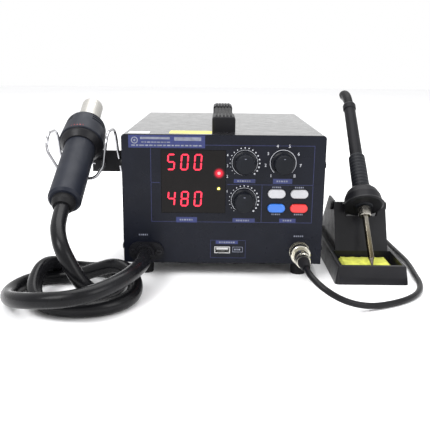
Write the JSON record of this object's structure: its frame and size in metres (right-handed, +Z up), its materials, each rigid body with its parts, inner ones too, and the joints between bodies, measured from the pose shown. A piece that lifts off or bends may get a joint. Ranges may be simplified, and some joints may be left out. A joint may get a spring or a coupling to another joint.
{
  "type": "hot air station",
  "caption": "Two-in-one rework station: hot air handset in a side cradle, soldering iron in a sponge stand, and a control unit with displays, knobs and buttons.",
  "frame": {"origin": "on the bench, under the middle of the unit, cradle, handset, iron and stand, without the hose and the iron's cord", "axes": "+Z up, +X to the unit's right as its user faces it, +Y from the front panel to the rear"},
  "size_m": [0.3909, 0.3637, 0.1689],
  "materials": {
    "case_paint": "semi-gloss black powder coat",
    "panel_steel": "black painted steel",
    "overlay_film": "glossy printed film",
    "window": "smoked display filter",
    "display_body": "dark red segment faces",
    "lamp": "clear epoxy lamps",
    "board": "green solder mask",
    "pot_metal": "plated",
    "knob_plastic": "black moulded plastic",
    "grey_button": "light grey",
    "blue_button": "blue",
    "red_button": "red",
    "usb_metal": "bright shell",
    "handle_plastic": "black moulded plastic",
    "strap_rubber": "ribbed black rubber",
    "foot_rubber": "matte",
    "screw_steel": "zinc plated",
    "socket_metal": "nickel plated",
    "boot_rubber": "black",
    "cord_rubber": "smooth black",
    "hose_rubber": "smooth glossy black",
    "gland_plastic": "black",
    "pump_metal": "plain",
    "pump_rubber": "soft",
    "core_steel": "laminated core and varnished winding",
    "arm_steel": "plain",
    "inlet_plastic": "black",
    "bracket_paint": "black powder coat",
    "wire_chrome": "polished",
    "grip_plastic": "dark blue-grey moulded plastic",
    "nozzle_steel": "pale steel",
    "heater_ceramic": "white",
    "stand_paint": "black semi-gloss",
    "sponge": "cellulose sponge",
    "cone_plastic": "black heat-proof plastic",
    "tip_metal": "plated copper, dark",
    "barrel_steel": "heat tinted",
    "iron_grip": "matte",
    "iron_plastic": "black"
  },
  "bodies": {
    "root": {"air_tube": "pump_rubber", "bottom_tray": "case_paint", "control_board": "board", "display_window": "window", "front_overlay": "overlay_film", "front_panel": "panel_steel", "handle_caps": "handle_plastic", "holder_bracket": "bracket_paint", "holder_cone": "cone_plastic", "holder_wire": "wire_chrome", "hose": "hose_rubber", "hose_gland": "gland_plastic", "hose_rise": "hose_rubber", "indicator_lamps": "lamp", "iron_cord": "cord_rubber", "iron_cord_coil": "cord_rubber", "iron_cord_rise": "cord_rubber", "iron_plug": "socket_metal", "iron_socket": "socket_metal", "led_displays": "display_body", "machine_screws": "screw_steel", "mains_inlet": "inlet_plastic", "plug_boot": "boot_rubber", "potentiometers": "pot_metal", "pump_base": "pump_metal", "pump_bellows": "pump_rubber", "pump_electromagnet": "core_steel", "pump_mounts": "pump_rubber", "rear_panel": "case_paint", "rubber_feet": "foot_rubber", "stand_base": "stand_paint", "stand_sponge": "sponge", "stand_upright": "stand_paint", "top_cover": "case_paint", "transformer": "core_steel", "usb_port": "usb_metal"},
    "air_temp_knob": {"air_temp_knob": "knob_plastic"},
    "iron_temp_knob": {"iron_temp_knob": "knob_plastic"},
    "air_flow_knob": {"air_flow_knob": "knob_plastic"},
    "cool_button": {"cool_button": "grey_button"},
    "sleep_button": {"sleep_button": "grey_button"},
    "iron_power_button": {"iron_power_button": "blue_button"},
    "air_power_button": {"air_power_button": "red_button"},
    "plug_ring": {"plug_ring": "socket_metal"},
    "handle_strap": {"handle_strap": "strap_rubber"},
    "handset": {"handset_grip": "grip_plastic", "handset_collar": "grip_plastic", "handset_head": "grip_plastic", "handset_nozzle": "nozzle_steel", "handset_heater": "heater_ceramic", "handset_boot": "boot_rubber"},
    "iron": {"iron_tip": "tip_metal", "iron_barrel": "barrel_steel", "iron_nut": "barrel_steel", "iron_collar": "iron_grip", "iron_handle": "iron_plastic", "iron_boot": "boot_rubber"},
    "fuse_drawer": {"fuse_drawer": "inlet_plastic"},
    "pump_arm_left": {"pump_arm_left": "arm_steel"},
    "pump_arm_right": {"pump_arm_right": "arm_steel"}
  },
  "joints": [
    {"name": "air_temp_turn", "type": "hinge", "parent": "root", "child": "air_temp_knob", "pos_m": [0.0195, -0.10782, 0.1098], "axis": [0, 1, 0], "range_deg": [-150, 150]},
    {"name": "iron_temp_turn", "type": "hinge", "parent": "root", "child": "iron_temp_knob", "pos_m": [0.0193, -0.10782, 0.0747], "axis": [0, 1, 0], "range_deg": [-150, 150]},
    {"name": "air_flow_turn", "type": "hinge", "parent": "root", "child": "air_flow_knob", "pos_m": [0.0545, -0.10782, 0.11], "axis": [0, 1, 0], "range_deg": [-150, 150]},
    {"name": "cool_press", "type": "slide", "parent": "root", "child": "cool_button", "axis": [0, 1, 0], "range_m": [0, 0.0015], "stiffness_N_per_m": 400, "springref_m": -0.0005},
    {"name": "sleep_press", "type": "slide", "parent": "root", "child": "sleep_button", "axis": [0, 1, 0], "range_m": [0, 0.0015], "stiffness_N_per_m": 400, "springref_m": -0.0005},
    {"name": "iron_power_press", "type": "slide", "parent": "root", "child": "iron_power_button", "axis": [0, 1, 0], "range_m": [0, 0.0015], "stiffness_N_per_m": 400, "springref_m": -0.0005},
    {"name": "air_power_press", "type": "slide", "parent": "root", "child": "air_power_button", "axis": [0, 1, 0], "range_m": [0, 0.0015], "stiffness_N_per_m": 400, "springref_m": -0.0005},
    {"name": "plug_ring_turn", "type": "hinge", "parent": "root", "child": "plug_ring", "pos_m": [0.0725, -0.10682, 0.026], "axis": [0, 1, 0], "continuous": true},
    {"name": "handle_pull", "type": "slide", "parent": "root", "child": "handle_strap", "axis": [0, 0, 1], "range_m": [0, 0.02], "deforming": ["handle_strap"]},
    {"name": "handset_lift", "type": "slide", "parent": "root", "child": "handset", "axis": [0, 0, 1], "range_m": [0, 0.08], "deforming": ["hose_rise"]},
    {"name": "iron_pull", "type": "slide", "parent": "root", "child": "iron", "axis": [-0.0158, 0.6945, 0.7193], "range_m": [0, 0.1], "deforming": ["iron_cord_rise"]},
    {"name": "fuse_drawer_slide", "type": "slide", "parent": "root", "child": "fuse_drawer", "axis": [0, 1, 0], "range_m": [0, 0.018]},
    {"name": "pump_arm_left_swing", "type": "hinge", "parent": "root", "child": "pump_arm_left", "pos_m": [-0.061, -0.00382, 0.04], "axis": [0, 0, 1], "range_deg": [-1.5, 1.5], "stiffness_Nm_per_rad": 0.3},
    {"name": "pump_arm_right_swing", "type": "hinge", "parent": "root", "child": "pump_arm_right", "pos_m": [-0.027, -0.00382, 0.04], "axis": [0, 0, 1], "range_deg": [-1.5, 1.5], "stiffness_Nm_per_rad": 0.3}
  ]
}
